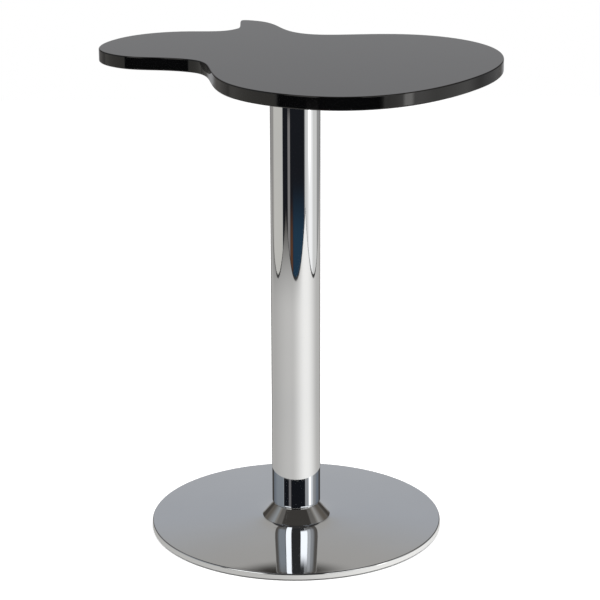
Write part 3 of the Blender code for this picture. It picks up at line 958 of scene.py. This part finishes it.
def add_world():
    """White all round for the camera and for glass; mirrors see the studio's panels on that white."""
    world = bpy.data.worlds.new("studio")
    bpy.context.scene.world = world
    world.use_nodes = True
    tree = world.node_tree
    tree.nodes.clear()
    kit = NodeKit(tree)
    panelled = panelled_light(kit)
    path = tree.nodes.new("ShaderNodeLightPath")
    backdrop = tree.nodes.new("ShaderNodeBackground")
    colour = kit.layer(kit.plain(WHITE), path.outputs["Is Glossy Ray"], panelled)
    tree.links.new(colour, backdrop.inputs["Color"])
    soft = tree.nodes.new("ShaderNodeBackground")
    soft.inputs["Color"].default_value = (*WHITE, 1.0)
    soft.inputs["Strength"].default_value = DIFFUSE_LEVEL
    seen = kit.math("MAXIMUM", path.outputs["Is Camera Ray"], path.outputs["Is Glossy Ray"])
    seen = kit.math("MAXIMUM", seen, path.outputs["Is Transmission Ray"])
    surface = kit.mix(seen, soft.outputs["Background"], backdrop.outputs["Background"])
    output = tree.nodes.new("ShaderNodeOutputWorld")
    tree.links.new(surface, output.inputs["Surface"])


# Paper floor: its reach in the studio, a hair below the pads, its own light for the camera, and the width of
# the painted contact shadow round the base, over which that light sets in
FLOOR_SIDES = (-1.43, 1.43)
FLOOR_DEPTH = (-1.43, 3.2)
FLOOR_DROP = 0.0003
FLOOR_ALBEDO = 0.8
FLOOR_LIFT = 0.62
FLOOR_SHADE = 0.003

# The paper as mirrors see it: plain, then brighter or dimmer by azimuth in layers, each with its span, the
# softness of its edges in degrees, and its light
GLOW_PLAIN = (0.445, 0.437, 0.425)
GLOW_LAYERS = [
    ("front", (-75, 120), 50, (0.565, 0.556, 0.542)),
    ("right_front", (12, 82), 32, (0.96, 0.95, 0.93)),
]
GLOW_LAYERS_BOTH_SIDES = [
    ("back_side", (148, 171), 6, (0.23, 0.225, 0.22)),
]

# Where the paper's light dies away towards the left front, by distance and azimuth, and its dark hem
FADE_DISTANCE = (1.15, 2.0)
FADE_SPAN = (-130, 22)
FADE_SOFT = 14
FADE_LIGHT = (0.06, 0.056, 0.052)
HEM_WIDTH = 0.03
HEM_SOFT = HEM_WIDTH / 8
HEM_LIGHT = (0.03, 0.03, 0.03)


def floor_glow(kit, vector):
    """The paper as mirrors see it: brighter towards the right front, dim towards the left front corner."""
    azimuth, _, across, along = kit.direction(vector)
    from_front = kit.math("ABSOLUTE", azimuth)
    glow = kit.plain(GLOW_PLAIN)
    for around, layers in ((azimuth, GLOW_LAYERS), (from_front, GLOW_LAYERS_BOTH_SIDES)):
        for _, span, soft, light in layers:
            glow = kit.layer(glow, kit.window(around, span, soft), light)
    far = kit.edge(kit.length(vector), *FADE_DISTANCE)
    faded = kit.math("MULTIPLY", far, kit.window(azimuth, FADE_SPAN, FADE_SOFT))
    glow = kit.layer(glow, faded, FADE_LIGHT)
    sides = (FLOOR_SIDES[0] + HEM_WIDTH, FLOOR_SIDES[1] - HEM_WIDTH)
    depth = (FLOOR_DEPTH[0] + HEM_WIDTH, FLOOR_DEPTH[1])
    in_sides = kit.window(across, sides, HEM_SOFT)
    inside = kit.math("MULTIPLY", in_sides, kit.window(along, depth, HEM_SOFT))
    return kit.layer(kit.plain(HEM_LIGHT), inside, glow)


def paper_material(name):
    """White paper that keeps shadows, lifted to white for the camera outside a painted contact shadow at the
    base's rim, with its own glow for mirrors.
    """
    material = bpy.data.materials.new(name)
    material.use_nodes = True
    tree = material.node_tree
    tree.nodes.clear()
    kit = NodeKit(tree)
    paper = tree.nodes.new("ShaderNodeBsdfDiffuse")
    paper.inputs["Color"].default_value = (FLOOR_ALBEDO, FLOOR_ALBEDO, FLOOR_ALBEDO, 1.0)
    place = tree.nodes.new("ShaderNodeTexCoord").outputs["Object"]
    # Painted contact shadow: the camera's lift fades out under the base's rim, so the floor there shows
    # darker
    lift_outside_painted_shadow = kit.edge(kit.length(place), BASE_RADIUS - FLOOR_SHADE, BASE_RADIUS + FLOOR_SHADE)
    lift = tree.nodes.new("ShaderNodeEmission")
    tree.links.new(kit.math("MULTIPLY", lift_outside_painted_shadow, FLOOR_LIFT), lift.inputs["Strength"])
    lifted = tree.nodes.new("ShaderNodeAddShader")
    tree.links.new(paper.outputs["BSDF"], lifted.inputs[0])
    tree.links.new(lift.outputs["Emission"], lifted.inputs[1])
    mirrored = tree.nodes.new("ShaderNodeEmission")
    tree.links.new(floor_glow(kit, place), mirrored.inputs["Color"])
    path = tree.nodes.new("ShaderNodeLightPath")
    surface = kit.mix(path.outputs["Is Camera Ray"], paper.outputs["BSDF"], lifted.outputs["Shader"])
    surface = kit.mix(path.outputs["Is Glossy Ray"], surface, mirrored.outputs["Emission"])
    output = tree.nodes.new("ShaderNodeOutputMaterial")
    tree.links.new(surface, output.inputs["Surface"])
    return material


def add_floor():
    """A sheet of white paper under the table."""
    corners = [(x, y) for y in FLOOR_DEPTH for x in FLOOR_SIDES]
    mesh = bpy.data.meshes.new("paper_floor")
    mesh.from_pydata([studio_vector(x, y, -FLOOR_DROP) for x, y in corners], [], [(0, 1, 3, 2)])
    mesh.materials.append(paper_material("paper_white"))
    floor = bpy.data.objects.new("paper_floor", mesh)
    bpy.context.scene.collection.objects.link(floor)


# Lamps: place in the studio, side length and power; all aim at the middle of the table
LAMPS = [
    ("key_lamp", (1.8, -1.6, 2.6), 1.6, 60.0),
    ("fill_lamp", (-2.2, -1.2, 2.2), 1.6, 40.0),
    ("top_lamp", (0.0, 0.3, 3.0), 2.4, 50.0),
]
LAMP_AIM = (0.0, 0.0, 0.4)


def add_lamps():
    """Soft lamps that light the table and stay out of its mirrors."""
    for name, place, size, power in LAMPS:
        data = bpy.data.lights.new(name, "AREA")
        data.size = size
        data.energy = power
        lamp = bpy.data.objects.new(name, data)
        lamp.location = studio_vector(*place)
        aim = studio_vector(*LAMP_AIM) - lamp.location
        lamp.rotation_euler = aim.to_track_quat("-Z", "Y").to_euler()
        lamp.visible_glossy = False
        lamp.visible_camera = False
        bpy.context.scene.collection.objects.link(lamp)


def main():
    """Make the pieces, finish the CAD nodes that stay, and set up the studio."""
    finishes = make_finishes()
    make_top_board(finishes)
    make_mounting_plate(finishes)
    make_mounting_screws(finishes)
    make_column(finishes)
    make_tie_rod(finishes)
    make_nuts(finishes)
    make_washers(finishes)
    make_collar(finishes)
    make_base_cover(finishes)
    make_base_ballast(finishes)
    make_glides(finishes)
    for part in frame["record"]["subparts"]:
        mesh = frame["nodes"][part["node"]].data
        mesh.materials.clear()
        mesh.materials.append(finishes[part["material_slot"]])
    add_camera()
    add_world()
    add_floor()
    add_lamps()
    bpy.context.scene.view_settings.view_transform = "Standard"


main()
